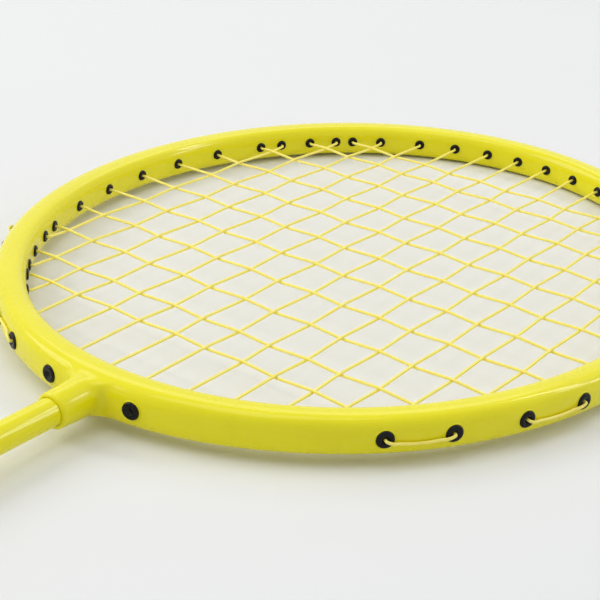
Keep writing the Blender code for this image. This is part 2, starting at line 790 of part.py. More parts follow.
def make_finishing_tape(material):
    """A band over the grip's end, the bare handle beside it and the cone's sleeve."""
    end = X_CONE + TAPE_ON_CONE
    start = end - TAPE_WIDTH
    step = grip_end() + CLEARANCE
    low = HANDLE_WIDTH / 2 + CLEARANCE
    high = HANDLE_WIDTH / 2 + GRIP_THICKNESS + CLEARANCE
    slope = GRIP_THICKNESS
    profile = [(high, start), (high, step), (low, step + slope), (low, end),
               (low + TAPE_THICKNESS, end), (low + TAPE_THICKNESS, step + slope + TAPE_THICKNESS),
               (high + TAPE_THICKNESS, step + TAPE_THICKNESS), (high + TAPE_THICKNESS, start)]
    add_part("finishing_tape", octagonal("finishing_tape", profile), material)


# --- the measure of the strings' gap

def least_gap(first, second, diameter):
    """The least gap between two routes, measured from points 0.5 mm apart."""
    def dense(route):
        points = []
        for before, after in zip(route, route[1:]):
            count = max(1, int((after - before).length / 0.0005))
            points += [before.lerp(after, step / count) for step in range(count)]
        return points
    cell = 4 * diameter
    grid = {}
    for point in dense(second):
        grid.setdefault(tuple(round(value / cell) for value in point), []).append(point)
    least = cell
    for point in dense(first):
        key = [round(value / cell) for value in point]
        for dx in (-1, 0, 1):
            for dy in (-1, 0, 1):
                for dz in (-1, 0, 1):
                    for other in grid.get((key[0] + dx, key[1] + dy, key[2] + dz), ()):
                        least = min(least, (point - other).length)
    return least - diameter


def build():
    global parts, cutters
    clear_scene()
    parts = new_collection(OBJECT_NAME)
    cutters = new_collection("cutters")
    materials = make_materials()
    make_frame(materials["frame_paint"])
    make_shaft(materials["frame_paint"])
    make_cone(materials["cone_plastic"])
    make_handle(materials["handle_wood"])
    make_butt_cap(materials["cap_plastic"])
    make_grip(materials["grip_tape"])
    make_finishing_tape(materials["finishing_tape"])
    make_strings(materials["string"])
    make_grommets(materials["grommet"])
    gap = least_gap(main_route()[0], cross_route()[0], STRING_DIAMETER)
    print(f"least gap between the main and the cross string: {gap * 1000:.2f} mm")
    print(f"overall length: {X_TIP * 1000:.1f} mm")


build()
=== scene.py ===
"""The looks of a badminton racket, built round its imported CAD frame.

Lengths are in metres, in the frame's own axes: +X runs from the butt to the tip of the head,
+Y across it to the far side, and +Z is square to the strings. The first block of numbers is
the CAD model's own, and the shapes below follow the same curves, only finer.
"""
import math

import bpy
from mathutils import Matrix, Vector


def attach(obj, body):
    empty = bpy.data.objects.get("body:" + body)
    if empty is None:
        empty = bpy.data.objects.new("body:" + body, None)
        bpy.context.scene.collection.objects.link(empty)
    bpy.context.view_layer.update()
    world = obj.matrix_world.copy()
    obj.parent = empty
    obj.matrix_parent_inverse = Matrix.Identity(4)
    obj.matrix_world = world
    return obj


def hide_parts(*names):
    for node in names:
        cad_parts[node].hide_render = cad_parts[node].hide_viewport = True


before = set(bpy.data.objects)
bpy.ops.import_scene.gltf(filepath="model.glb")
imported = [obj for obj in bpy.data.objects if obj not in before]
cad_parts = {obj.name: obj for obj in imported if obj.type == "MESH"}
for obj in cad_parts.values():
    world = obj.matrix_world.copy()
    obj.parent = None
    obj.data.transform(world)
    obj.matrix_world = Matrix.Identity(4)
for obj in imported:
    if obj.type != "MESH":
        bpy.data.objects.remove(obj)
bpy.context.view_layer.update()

# --- the CAD model's sizes
X_HANDLE, X_GRIP_END, X_CONE, X_CONE_TIP = 0.0033, 0.1643, 0.1756, 0.2036
X_SOCKET, X_THROAT, X_HEAD = 0.4075, 0.4215, 0.54605
HOOP_A, HOOP_B = 0.11985, 0.09685          # half axes of the hoop's centre line
FRAME_WIDTH, FRAME_HEIGHT, SECTION_POWER = 0.0094, 0.0110, 3.0
FACE = FRAME_WIDTH / 2
SWELL_WIDTH, SWELL_HEIGHT, SWELL_REACH = 0.0014, 0.0008, 0.0550
SOCKET_DIAMETER, SOCKET_ROOT = 0.0098, 0.0106
BLEND_LENGTH, BLEND_WIDTH, BLEND_PULL = 0.0045, 0.0170, 1.1
SHAFT_DIAMETER, SHAFT_START, SHAFT_CHAMFER = 0.0077, 0.0953, 0.0005
HANDLE_WIDTH, HANDLE_THICKNESS = 0.0232, 0.0202
BUTT_FLARE, FLARE_LENGTH, GRIP_THICKNESS = 0.0014, 0.0160, 0.0017
LAP_PITCH = 0.0150
CAP_THICKNESS = 0.0030
CONE_SLEEVE, CONE_TIP = 0.0040, 0.0106
TAPE_START, TAPE_END, TAPE_THICKNESS = 0.1586, 0.1786, 0.0006
MAIN_COUNT, MAIN_ANGLE = 14, 57.7
CROSS_COUNT, CROSS_ANGLE, CROSS_END_ANGLE = 11, 51.5, 42.2
BEND_OFFSET = -(FACE + 0.0014)             # where a string bends inside of the hoop
RUN_SHIFT, INSIDE_SHIFT = 0.0014, 0.0031   # how far string runs lie above or below the holes
EMPTY_HOLE_Y = 0.0140
TIP, THROAT = 1, -1
FAR, NEAR = 1, -1

# --- how finely this model is cut
HOOP_ROWS = 348
SECTION_COLUMNS = 48
FOOT = 18                                  # rows and columns across the throat blend's foot
BLEND_ROWS = 20
FILLET_STEPS = 6
GROMMET_SIDES, RIM_SIDES = 36, 40
STRING_SIDES = 12
RUN_STEPS, KNOT_STEPS = 16, 40
ROD_SIDES, OCTAGON_SIDES = 64, 96
CONE_ROWS, TAPE_ROWS, CAP_EDGE_ROWS = 40, 90, 8
GRIP_ROWS, GRIP_SIDES = 420, 112

# --- details finer than the CAD model's
SIDE_PULL = 0.5                            # draws the blend tighter into its two side corners
MOUTH_ROUNDING, BORE_ROOM, BORE_OVERRUN = 0.00088, 0.00006, 0.0005
GROMMET_BORE, GROMMET_BARREL, GROMMET_FLANGE = 0.00062, 0.00178, 0.00246
AXIS = 0.00002                             # the radius of a closed profile's points on the axis
RIM_PROFILE = ((0.00236, -0.0001), (0.00250, 0.00010), (0.00262, 0.00014),
               (0.00276, 0.00009), (0.00292, -0.00004))    # (radius, height over the face)
STRING_RADIUS, WEAVE = 0.00044, 0.00037    # drawn tight: the strings press on each other
SHARP_ANGLE, SLIGHT_ANGLE = 0.4, 0.004     # of a string's corners, in radians
SHARP_RADIUS, SLIGHT_RADIUS, ANGLE_STEP = 0.0010, 0.012, 0.16
LARGEST_CUT = 0.45                         # of the way to the next corner
LEAST_STEP = 0.00002                       # between two rings of a string
WRAP_REACH = 2.5                           # the string's UV map, half way round
HOLE_DEPTH = 0.0006                        # where a string's outside run starts, in its hole
NEAR_FLANGE, FLANGE_FADE = 0.0023, 0.0018  # from a flange's middle, and the way down beyond
OVER_FLANGE, ON_PAINT = 0.00108, 0.00050   # a run's height over the outer face
RUN_SQUARENESS = 0.55                      # of a run's sideways bow, less is squarer
KNOT_TURNS, KNOT_RADIUS, KNOT_PITCH = 1.75, 0.00050, 0.00080
KNOT_HEIGHT, KNOT_START = 0.00144, 0.0003
KNOT_END_IN, KNOT_END_ASIDE = 0.0005, 0.0007
OCTAGON_SHARPNESS, GRIP_SHARPNESS, TAPE_SHARPNESS = 44, 40, 36      # of their rounded corners
LAP_RISE, LAP_DIP = 0.00042, 0.00022       # of the grip's laps
GRIP_FOOT, GRIP_ROUNDING, LAP_ALLOWANCE = 0.0004, 0.0006, 0.00025
TAPE_LAP, TAPE_LAP_RISE, TAPE_SLOPE = 0.0095, 0.00014, 0.0030
TAPE_GAP = 0.0002                          # between the tape and what it lies on
TAPE_EDGE = 0.3                            # of its thickness, at its two ends
BEAD, BEAD_RISE = 0.0008, 0.00012          # the rolled bead at the cone's small end
CONE_BORE_ROOM, CONE_BORE_DEPTH = 0.0001, 0.0060
CAP_ROUNDING, CAP_FACE_MARGIN, CAP_CLOSING = 0.0010, 0.0022, 0.0002
CAP_FACE = ((0.0002, 0.0), (0.0066, 0.0), (0.0070, 0.0001), (0.0073, 0.0004),
            (0.0077, 0.0004), (0.0080, 0.0001), (0.0084, 0.0))    # (radius, depth) of its ring


# --- meshes

def add_piece(name, verts, faces, material, nodes=(), uvs=None):
    """A smooth piece on the root body. uvs holds one (u, v) for each vertex."""
    mesh = bpy.data.meshes.new(name)
    mesh.from_pydata([tuple(v) for v in verts], [], faces)
    mesh.update()
    if uvs:
        layer = mesh.uv_layers.new(name="UVMap")
        for loop in mesh.loops:
            layer.data[loop.index].uv = uvs[loop.vertex_index]
    mesh.materials.append(material)
    mesh.shade_smooth()
    piece = bpy.data.objects.new(name, mesh)
    bpy.context.scene.collection.objects.link(piece)
    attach(piece, "root")
    if nodes:
        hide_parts(*nodes)


def skin(rings, looped=False):
    """(verts, faces) of a body through rings of points with as many points in each. Its ends
    are capped, or its last ring is joined to its first."""
    count = len(rings[0])
    verts = [point for ring in rings for point in ring]
    faces = []
    for row in range(len(rings) - (0 if looped else 1)):
        after = (row + 1) % len(rings)
        for i in range(count):
            j = (i + 1) % count
            faces.append((row * count + i, row * count + j, after * count + j, after * count + i))
    if not looped:
        faces.append(tuple(range(count))[::-1])
        last = (len(rings) - 1) * count
        faces.append(tuple(range(last, last + count)))
    return verts, faces


def joined(bodies):
    """Several (verts, faces) in one."""
    verts, faces = [], []
    for more_verts, more_faces in bodies:
        start = len(verts)
        verts += more_verts
        faces += [tuple(start + i for i in face) for face in more_faces]
    return verts, faces


def lathe(profile, steps, place=None):
    """The rings of a profile of (radius, height) points turned about Z, then moved by a
    matrix."""
    rings = []
    for radius, height in profile:
        ring = [Vector((radius * math.cos(2 * math.pi * i / steps),
                        radius * math.sin(2 * math.pi * i / steps), height))
                for i in range(steps)]
        rings.append([place @ point for point in ring] if place else ring)
    return rings


# --- the hoop's curve

def smooth_step(part):
    part = min(1.0, max(0.0, part))
    return part * part * (3 - 2 * part)


def hoop_normal(turn):
    return Vector((HOOP_B * math.cos(turn), HOOP_A * math.sin(turn), 0)).normalized()


def hoop_point(turn, offset=0.0, z=0.0):
    centre = Vector((X_HEAD + HOOP_A * math.cos(turn), HOOP_B * math.sin(turn), z))
    return centre + hoop_normal(turn) * offset


def swell(turn):
    """How much of the throat's swelling the hoop has at a turn, from 0 to 1."""
    across = abs(HOOP_B * math.sin(turn)) / SWELL_REACH
    if math.cos(turn) > 0 or across > 1:
        return 0.0
    return (1 + math.cos(math.pi * across)) / 2


def outer_face(turn):
    return FACE + SWELL_WIDTH * swell(turn)


def face_drop(turn, z):
    """How far the rounded outer face has fallen back at a height z."""
    half_width = (FRAME_WIDTH + SWELL_WIDTH * swell(turn)) / 2
    half_height = (FRAME_HEIGHT + SWELL_HEIGHT * swell(turn)) / 2
    part = min(1.0, abs(z) / half_height)
    return half_width * (1 - (1 - part ** SECTION_POWER) ** (1 / SECTION_POWER))


def quarter_turn_where(measure, wanted):
    low, high = 0.0, math.pi / 2
    for _ in range(50):
        middle = (low + high) / 2
        if measure(middle) < wanted:
            low = middle
        else:
            high = middle
    return (low + high) / 2


def throat_turn_where(outer_y):
    """The turn on either side of the throat at which the outer face is at outer_y."""
    return quarter_turn_where(
        lambda t: hoop_point(math.pi - t, outer_face(math.pi - t)).y, outer_y)


def bend_place(angle):
    return hoop_point(math.radians(angle), BEND_OFFSET)


def main_y(index):
    return bend_place(MAIN_ANGLE).y * (2 * index / (MAIN_COUNT - 1) - 1)


def cross_x(index):
    if index in (0, CROSS_COUNT - 1):
        reach, part = bend_place(CROSS_END_ANGLE).x - X_HEAD, 2 * index / (CROSS_COUNT - 1) - 1
    else:
        reach, part = bend_place(CROSS_ANGLE).x - X_HEAD, 2 * (index - 1) / (CROSS_COUNT - 3) - 1
    return X_HEAD + reach * part


def main_turn(y, end):
    turn = quarter_turn_where(lambda t: hoop_point(t, BEND_OFFSET).y, abs(y))
    return math.copysign(turn if end == TIP else math.pi - turn, y)


def cross_turn(x, side):
    turn = quarter_turn_where(lambda t: X_HEAD - hoop_point(t, BEND_OFFSET).x, -abs(x - X_HEAD))
    return side * (turn if x > X_HEAD else math.pi - turn)


def turns_inside(main, end):
    """Whether the string goes to its next hole inside of the hoop, not along its outer face."""
    return end == THROAT and main < MAIN_COUNT / 2 + 2


def string_holes():
    """(CAD node or None, turn, kind) of every hole; kind is through, bush or empty."""
    holes = []
    beside_socket = (MAIN_COUNT // 2 - 1, MAIN_COUNT // 2)
    for end, word in ((TIP, "tip"), (THROAT, "throat")):
        for main in range(MAIN_COUNT):
            node = f"grommet_main_{main + 1:02d}_{word}"
            if end == THROAT and main in beside_socket:
                node = None
            holes.append((node, main_turn(main_y(main), end),
                          "bush" if turns_inside(main, end) else "through"))
    for side, word in ((NEAR, "near"), (FAR, "far")):
        for cross in range(CROSS_COUNT):
            holes.append((f"grommet_cross_{cross + 1:02d}_{word}",
                          cross_turn(cross_x(cross), side), "through"))
    turn = throat_turn_where(EMPTY_HOLE_Y)
    return holes + [("grommet_empty_far", math.pi - turn, "empty"),
                    ("grommet_empty_near", turn - math.pi, "empty")]


# --- materials

class Nodes:
    """Short ways to lay out one material's nodes."""

    def __init__(self, name):
        self.material = bpy.data.materials.new(name)
        self.material.use_nodes = True
        self.tree = self.material.node_tree
        self.shader = self.tree.nodes["Principled BSDF"]

    def add(self, kind, **values):
        """A node; values name its sockets with _ for a space, or its own settings."""
        node = self.tree.nodes.new(kind)
        for key, value in values.items():
            if hasattr(node, key):
                setattr(node, key, value)
            else:
                node.inputs[key.replace("_", " ")].default_value = value
        return node

    def link(self, source, target):
        self.tree.links.new(source, target)
        return self

    def place(self, scale=(1, 1, 1), source="Object"):
        """Coordinates in millimetres of the object, or the UV map's own."""
        coordinates = self.add("ShaderNodeTexCoord")
        mapping = self.add("ShaderNodeMapping")
        size = [1000 * s for s in scale] if source == "Object" else scale
        mapping.inputs["Scale"].default_value = size
        self.link(coordinates.outputs[source], mapping.inputs["Vector"])
        return mapping.outputs["Vector"]

    def noise(self, vector, scale, detail=3.0, roughness=0.5):
        node = self.add("ShaderNodeTexNoise", Scale=scale, Detail=detail, Roughness=roughness)
        self.link(vector, node.inputs["Vector"])
        return node.outputs["Fac"]

    def ramp(self, value, *stops):
        """A colour ramp through (position, colour) stops; a colour may be one grey number."""
        node = self.add("ShaderNodeValToRGB")
        while len(node.color_ramp.elements) < len(stops):
            node.color_ramp.elements.new(0.5)
        for element, (position, colour) in zip(node.color_ramp.elements, stops):
            element.position = position
            if isinstance(colour, (int, float)):
                colour = (colour,) * 3
            element.color = (*colour, 1)
        self.link(value, node.inputs["Fac"])
        return node.outputs["Color"]

    def math(self, operation, first, second):
        node = self.add("ShaderNodeMath", operation=operation)
        for socket, value in zip(node.inputs, (first, second)):
            if isinstance(value, (int, float)):
                socket.default_value = value
            else:
                self.link(value, socket)
        return node.outputs[0]

    def bump(self, height, strength, distance, below=None):
        """Adds bumps of a depth in metres to the shader, on top of those from below."""
        node = self.add("ShaderNodeBump", Strength=strength, Distance=distance)
        self.link(height, node.inputs["Height"])
        if below is not None:
            self.link(below, node.inputs["Normal"])
        self.link(node.outputs["Normal"], self.shader.inputs["Normal"])
        return node.outputs["Normal"]

    def set(self, **values):
        """Constants on the shader's own sockets."""
        for key, value in values.items():
            self.shader.inputs[key.replace("_", " ")].default_value = value


def frame_paint():
    """Gloss lemon paint under a clear coat, with a faint orange peel."""
    n = Nodes("frame_paint")
    place = n.place()
    broad = n.noise(place, 0.06, 2.0)
    n.link(n.ramp(broad, (0.3, (0.845, 0.765, 0.004)), (0.7, (0.875, 0.798, 0.007))),
           n.shader.inputs["Base Color"])
    n.link(n.ramp(n.noise(place, 0.22, 2.0), (0.35, 0.25), (0.75, 0.30)),
           n.shader.inputs["Roughness"])
    n.bump(n.noise(place, 0.25, 1.0), 0.008, 0.00006)
    n.set(Coat_Weight=0.45, Coat_Roughness=0.065, Coat_IOR=1.5, IOR=1.25)
    n.set(Specular_Tint=(1.0, 0.97, 0.70, 1))
    return n.material


def string_nylon():
    """Warm yellow nylon: fine wraps round the string under a smooth, slightly clear skin."""
    n = Nodes("string_nylon")
    along = n.place((1, 1, 1), "UV")
    wraps = n.add("ShaderNodeTexWave", wave_type="BANDS", bands_direction="DIAGONAL",
                  Scale=1.6, Distortion=0.4, Detail=1.0)
    n.link(along, wraps.inputs["Vector"])
    tone = n.noise(n.place(), 0.25, 2.0)
    n.link(n.ramp(tone, (0.3, (0.970, 0.815, 0.125)), (0.7, (0.990, 0.860, 0.165))),
           n.shader.inputs["Base Color"])
    n.link(n.ramp(wraps.outputs["Fac"], (0.0, 0.36), (1.0, 0.26)), n.shader.inputs["Roughness"])
    n.bump(wraps.outputs["Fac"], 0.12, 0.00003)
    n.set(Subsurface_Weight=0.15, Subsurface_Scale=0.0006,
          Subsurface_Radius=(1.0, 0.7, 0.2), IOR=1.53)
    return n.material


def grommet_nylon():
    """Gloss black moulded nylon, with the faint haze and scuffs of a moulded part."""
    n = Nodes("grommet_nylon")
    place = n.place()
    n.link(n.ramp(n.noise(place, 1.6, 3.0), (0.35, 0.003), (0.75, 0.009)),
           n.shader.inputs["Base Color"])
    n.link(n.ramp(n.noise(place, 3.0, 4.0), (0.3, 0.12), (0.8, 0.24)),
           n.shader.inputs["Roughness"])
    n.bump(n.noise(place, 4.0, 2.0), 0.15, 0.00003)
    n.set(IOR=1.45, Specular_IOR_Level=0.20)
    return n.material


def moulded_plastic(name, roughness):
    """Satin black plastic with the fine grain of a spark-eroded mould."""
    n = Nodes(name)
    place = n.place()
    n.link(n.ramp(n.noise(place, 0.15, 3.0), (0.3, 0.006), (0.7, 0.011)),
           n.shader.inputs["Base Color"])
    grain = n.noise(place, 5.0, 5.0, 0.6)
    n.link(n.ramp(grain, (0.3, roughness - 0.06), (0.7, roughness + 0.08)),
           n.shader.inputs["Roughness"])
    n.bump(grain, 0.35, 0.00004)
    n.set(IOR=1.5)
    return n.material


def grip_tape():
    """Matt black polyurethane tape: rows of round perforations, pitted and painted darker towards
    their middles as shade, and a fine leather grain.
    """
    n = Nodes("grip_tape")
    tape = n.place((1, 1, 1), "UV")
    dots = n.add("ShaderNodeTexVoronoi", Scale=0.40, Randomness=0.0)
    n.link(tape, dots.inputs["Vector"])
    # each perforation's mask pits the bump and darkens the colour towards its middle: painted
    # shade in the pits
    hole = n.ramp(dots.outputs["Distance"], (0.13, 0.0), (0.20, 1.0))
    grain = n.noise(n.place(), 2.6, 5.0, 0.65)
    shade = n.ramp(n.noise(n.place(), 0.12, 3.0), (0.3, 0.010), (0.7, 0.018))
    mix = n.add("ShaderNodeMix", data_type="RGBA", blend_type="MULTIPLY")
    mix.inputs["Factor"].default_value = 0.8
    n.link(shade, mix.inputs["A"]).link(hole, mix.inputs["B"])
    n.link(mix.outputs["Result"], n.shader.inputs["Base Color"])
    n.link(n.ramp(grain, (0.3, 0.62), (0.7, 0.80)), n.shader.inputs["Roughness"])
    pitted = n.bump(hole, 1.0, 0.00025)
    n.bump(grain, 0.45, 0.00010, pitted)
    n.set(Specular_IOR_Level=0.35)
    return n.material


def finishing_tape():
    """Smooth black vinyl tape with slight stretch lines along its length."""
    n = Nodes("finishing_tape")
    lines = n.noise(n.place((1.6, 0.12, 0.12)), 1.0, 3.0)
    n.link(n.ramp(n.noise(n.place(), 0.2, 2.0), (0.3, 0.007), (0.7, 0.012)),
           n.shader.inputs["Base Color"])
    n.link(n.ramp(lines, (0.3, 0.34), (0.7, 0.46)), n.shader.inputs["Roughness"])
    n.bump(lines, 0.35, 0.00006)
    return n.material


def handle_wood():
    """Pale turned wood, its grain running along the handle."""
    n = Nodes("handle_wood")
    grain = n.noise(n.place((0.03, 1.0, 1.0)), 0.9, 6.0, 0.6)
    n.link(n.ramp(grain, (0.3, (0.42, 0.27, 0.13)), (0.5, (0.60, 0.42, 0.23)),
                  (0.75, (0.68, 0.50, 0.29))), n.shader.inputs["Base Color"])
    n.link(n.ramp(grain, (0.3, 0.65), (0.7, 0.50)), n.shader.inputs["Roughness"])
    n.bump(grain, 0.3, 0.0001)
    return n.material


PAINT, STRING, GROMMET = frame_paint(), string_nylon(), grommet_nylon()
CONE, CAP = moulded_plastic("cone_plastic", 0.34), moulded_plastic("cap_plastic", 0.42)
GRIP, TAPE, WOOD = grip_tape(), finishing_tape(), handle_wood()


# --- the frame: the hoop, and the throat socket blended into it

def hoop_section(turn):
    """Points round the hoop's section, from its outermost point and over the top."""
    gain = swell(turn)
    width, height = FRAME_WIDTH + SWELL_WIDTH * gain, FRAME_HEIGHT + SWELL_HEIGHT * gain
    points = []
    for step in range(SECTION_COLUMNS):
        angle = 2 * math.pi * step / SECTION_COLUMNS
        across, up = math.cos(angle), math.sin(angle)
        across = math.copysign(abs(across) ** (2 / SECTION_POWER), across) * width / 2
        up = math.copysign(abs(up) ** (2 / SECTION_POWER), up) * height / 2
        points.append(hoop_point(turn, across + SWELL_WIDTH * gain / 2, up))
    return points


def socket_ring(x, radius):
    count = 4 * FOOT
    return [Vector((x, radius * math.cos(math.pi / 4 + 2 * math.pi * i / count),
                    radius * math.sin(math.pi / 4 + 2 * math.pi * i / count)))
            for i in range(count)]


def hermite(start, start_pull, end, end_pull, part):
    """A point on the curve between two points that leaves and arrives with given pulls."""
    return (start * (2 * part ** 3 - 3 * part ** 2 + 1)
            + start_pull * (part ** 3 - 2 * part ** 2 + part)
            + end * (3 * part ** 2 - 2 * part ** 3) + end_pull * (part ** 3 - part ** 2))


def frame_skin():
    """One closed skin: the hoop with a gap in its outer face, the blend, the socket, its
    rounded mouth and the bore that the shaft goes into."""
    foot = throat_turn_where(BLEND_WIDTH / 2)
    turns = [math.pi + foot * (2 * step / FOOT - 1) for step in range(FOOT + 1)]
    rest = 2 * (math.pi - foot) / HOOP_ROWS
    turns += [math.pi + foot + rest * step for step in range(1, HOOP_ROWS)]
    hoop = [hoop_section(turn) for turn in turns]
    verts = [point for ring in hoop for point in ring]
    half, faces = FOOT // 2, []

    def at(row, column):
        return (row % len(turns)) * SECTION_COLUMNS + column % SECTION_COLUMNS

    for row in range(len(turns)):
        for column in range(-SECTION_COLUMNS // 2, SECTION_COLUMNS // 2):
            if row < FOOT and -half <= column < half:
                continue
            faces.append((at(row, column), at(row + 1, column), at(row + 1, column + 1),
                          at(row, column + 1)))

    edge = [(row, half) for row in range(FOOT)]
    edge += [(FOOT, half - step) for step in range(FOOT)]
    edge += [(FOOT - step, -half) for step in range(FOOT)]
    edge += [(0, step - half) for step in range(FOOT)]

    root_x, mouth = X_THROAT - BLEND_LENGTH, MOUTH_ROUNDING
    bore = SHAFT_DIAMETER / 2 + BORE_ROOM
    root = socket_ring(root_x, SOCKET_ROOT / 2)
    rings = []
    for part in (0.0, 0.35, 0.7):
        x = root_x + (X_SOCKET + mouth - root_x) * part
        rings.append(socket_ring(x, (SOCKET_ROOT + (SOCKET_DIAMETER - SOCKET_ROOT)
                                     * (root_x - x) / (root_x - X_SOCKET)) / 2))
    for step in range(FILLET_STEPS + 1):
        angle = math.pi / 2 * step / FILLET_STEPS
        rings.append(socket_ring(X_SOCKET + mouth * (1 - math.sin(angle)),
                                 SOCKET_DIAMETER / 2 - mouth * (1 - math.cos(angle))))
    rings += [socket_ring(X_SOCKET + 0.00003, bore + 0.00005),
              socket_ring(X_SOCKET + 0.00010, bore),
              socket_ring(X_THROAT + BORE_OVERRUN, bore)]

    tip = socket_ring(X_SOCKET, SOCKET_DIAMETER / 2)
    blend = []
    for index, (row, column) in enumerate(edge):
        place = verts[at(row, column)]
        along = (verts[at(row - 1, column)] - verts[at(row + 1, column)]).normalized()
        over = (verts[at(row, column + 1)] - verts[at(row, column - 1)]).normalized()
        turn = math.pi / 4 + 2 * math.pi * index / len(edge)
        away = (along * math.cos(turn) + over * math.sin(turn)).normalized()
        pull = (place - root[index]).length * (BLEND_PULL + SIDE_PULL * math.cos(turn) ** 4)
        leave = (root[index] - tip[index]).normalized() * pull
        blend.append([hermite(root[index], leave, place, away * pull, step / BLEND_ROWS)
                      for step in range(1, BLEND_ROWS)])

    # loops from the hoop's gap inwards to the bottom of the bore
    loops = [[at(row, column) for row, column in edge]]
    blend_rings = [[column[step] for column in blend] for step in range(BLEND_ROWS - 2, -1, -1)]
    for ring in blend_rings + rings:
        loops.append(list(range(len(verts), len(verts) + len(ring))))
        verts += ring
    for outer, inner in zip(loops, loops[1:]):
        for i in range(len(outer)):
            j = (i + 1) % len(outer)
            faces.append((outer[i], inner[i], inner[j], outer[j]))
    faces.append(tuple(loops[-1]))
    return verts, faces


# --- the grommets

def hole_frame(turn):
    """A matrix from (along the hoop, up, outwards) at a hole to the model."""
    out = hoop_normal(turn)
    along = Vector((out.y, -out.x, 0))
    matrix = Matrix((along, Vector((0, 0, 1)), out)).transposed().to_4x4()
    return Matrix.Translation(hoop_point(turn)) @ matrix


def grommet_body(turn, kind):
    """A dished flange that follows the outer face and a tip in the inner face; a bush is the
    tip alone, and an empty grommet the flange alone. Both end in a closed dimple."""
    face, bore, barrel, flange = outer_face(turn), GROMMET_BORE, GROMMET_BARREL, GROMMET_FLANGE
    outer = [(barrel, face - 0.0006), (flange - 0.00010, face - 0.0001),
             (flange, face + 0.00012), (flange - 0.00007, face + 0.00036),
             (flange - 0.00026, face + 0.00054), (flange - 0.00060, face + 0.00062),
             (bore + 0.00072, face + 0.00060), (bore + 0.00045, face + 0.00050),
             (bore + 0.00018, face + 0.00034), (bore, face + 0.00012),
             (AXIS, face + 0.00008), (AXIS, face - 0.0006)]
    inner = [(AXIS, -FACE + 0.0006), (AXIS, -FACE - 0.00006), (bore, -FACE - 0.00010),
             (bore + 0.00006, -FACE - 0.00040),
             (bore + 0.00035, -FACE - 0.00062), (barrel - 0.00045, -FACE - 0.00066),
             (barrel - 0.00014, -FACE - 0.00052), (barrel, -FACE - 0.00022),
             (barrel, -FACE + 0.0008)]
    profiles = {"through": (outer, inner), "bush": (inner,), "empty": (outer,)}
    place, bodies = hole_frame(turn), []
    for profile in profiles[kind]:
        rings = lathe(profile[::-1], GROMMET_SIDES)
        for ring in rings:
            for point in ring:
                point.z -= math.copysign(face_drop(turn, point.y), point.z)
        rings = [[place @ point for point in ring] for ring in rings]
        bodies.append(skin(rings, looped=True))
    return joined(bodies)


def paint_rim(turn):
    """The low lip of paint that stands round an outer flange."""
    face, rings = outer_face(turn), []
    for reach, rise in RIM_PROFILE:
        ring = []
        for step in range(RIM_SIDES):
            angle = 2 * math.pi * step / RIM_SIDES
            along, up = reach * math.cos(angle), reach * math.sin(angle)
            bend = along ** 2 * (HOOP_A * HOOP_B) / (
                2 * ((HOOP_A * math.sin(turn)) ** 2 + (HOOP_B * math.cos(turn)) ** 2) ** 1.5)
            ring.append(hole_frame(turn) @ Vector(
                (along, up, face + rise - face_drop(turn, up) - bend)))
        rings.append(ring)
    return skin(rings, looped=True)


# --- the strings

def rounded(points):
    """The route with its corners rounded: sharp ones by one radius, slight ones by another."""
    result = [points[0]]
    for before, here, after in zip(points, points[1:], points[2:]):
        come, go = here - before, after - here
        if come.length < 1e-9 or go.length < 1e-9:
            continue
        angle = come.angle(go)
        if angle < SLIGHT_ANGLE:
            result.append(here)
            continue
        radius = SHARP_RADIUS if angle > SHARP_ANGLE else SLIGHT_RADIUS
        cut = min(radius * math.tan(angle / 2), LARGEST_CUT * come.length,
                  LARGEST_CUT * go.length)
        start, end = here - come.normalized() * cut, here + go.normalized() * cut
        steps = 2 + int(angle / ANGLE_STEP)
        for step in range(steps + 1):
            part = step / steps
            result.append(start * (1 - part) ** 2 + here * 2 * part * (1 - part) + end * part ** 2)
    return result + [points[-1]]


def string_tube(points):
    """(verts, faces, uvs) of a string along a route; u is the way along it in millimetres,
    and v goes up and down again round it, so that it has no seam."""
    sides, clean = STRING_SIDES, [points[0]]
    for point in points[1:]:
        if (point - clean[-1]).length > LEAST_STEP:
            clean.append(point)
    rings, uvs, travelled = [], [], 0.0
    direction = (clean[1] - clean[0]).normalized()
    side = direction.orthogonal().normalized()
    for index, point in enumerate(clean):
        ahead = clean[min(index + 1, len(clean) - 1)] - clean[max(index - 1, 0)]
        new_direction = ahead.normalized()
        side = (direction.rotation_difference(new_direction) @ side)
        side = (side - new_direction * side.dot(new_direction)).normalized()
        direction = new_direction
        other = direction.cross(side)
        if index:
            travelled += (point - clean[index - 1]).length
        for step in range(sides):
            angle = 2 * math.pi * step / sides
            rings.append(point + (side * math.cos(angle) + other * math.sin(angle))
                         * STRING_RADIUS)
            uvs.append((travelled * 1000, WRAP_REACH * abs(2 * step / sides - 1)))
    rings = [rings[i:i + sides] for i in range(0, len(rings), sides)]
    verts, faces = skin(rings)
    return verts, faces, uvs


def main_strand(main):
    y = main_y(main)
    first = hoop_point(main_turn(y, THROAT), BEND_OFFSET)
    last = hoop_point(main_turn(y, TIP), BEND_OFFSET)
    places = [(cross_x(cross), WEAVE if (main + cross) % 2 == 0 else -WEAVE)
              for cross in range(CROSS_COUNT)]
    return [first] + [Vector((x, y, z)) for x, z in places if first.x < x < last.x] + [last]


def cross_strand(cross):
    x = cross_x(cross)
    first = hoop_point(cross_turn(x, NEAR), BEND_OFFSET)
    last = hoop_point(cross_turn(x, FAR), BEND_OFFSET)
    places = [(main_y(main), -WEAVE if (main + cross) % 2 == 0 else WEAVE)
              for main in range(MAIN_COUNT)]
    return [first] + [Vector((x, y, z)) for y, z in places if first.y < y < last.y] + [last]


HOLES = string_holes()
OUTER_FLANGES = [hoop_point(turn, outer_face(turn)) for _, turn, kind in HOLES if kind != "bush"]


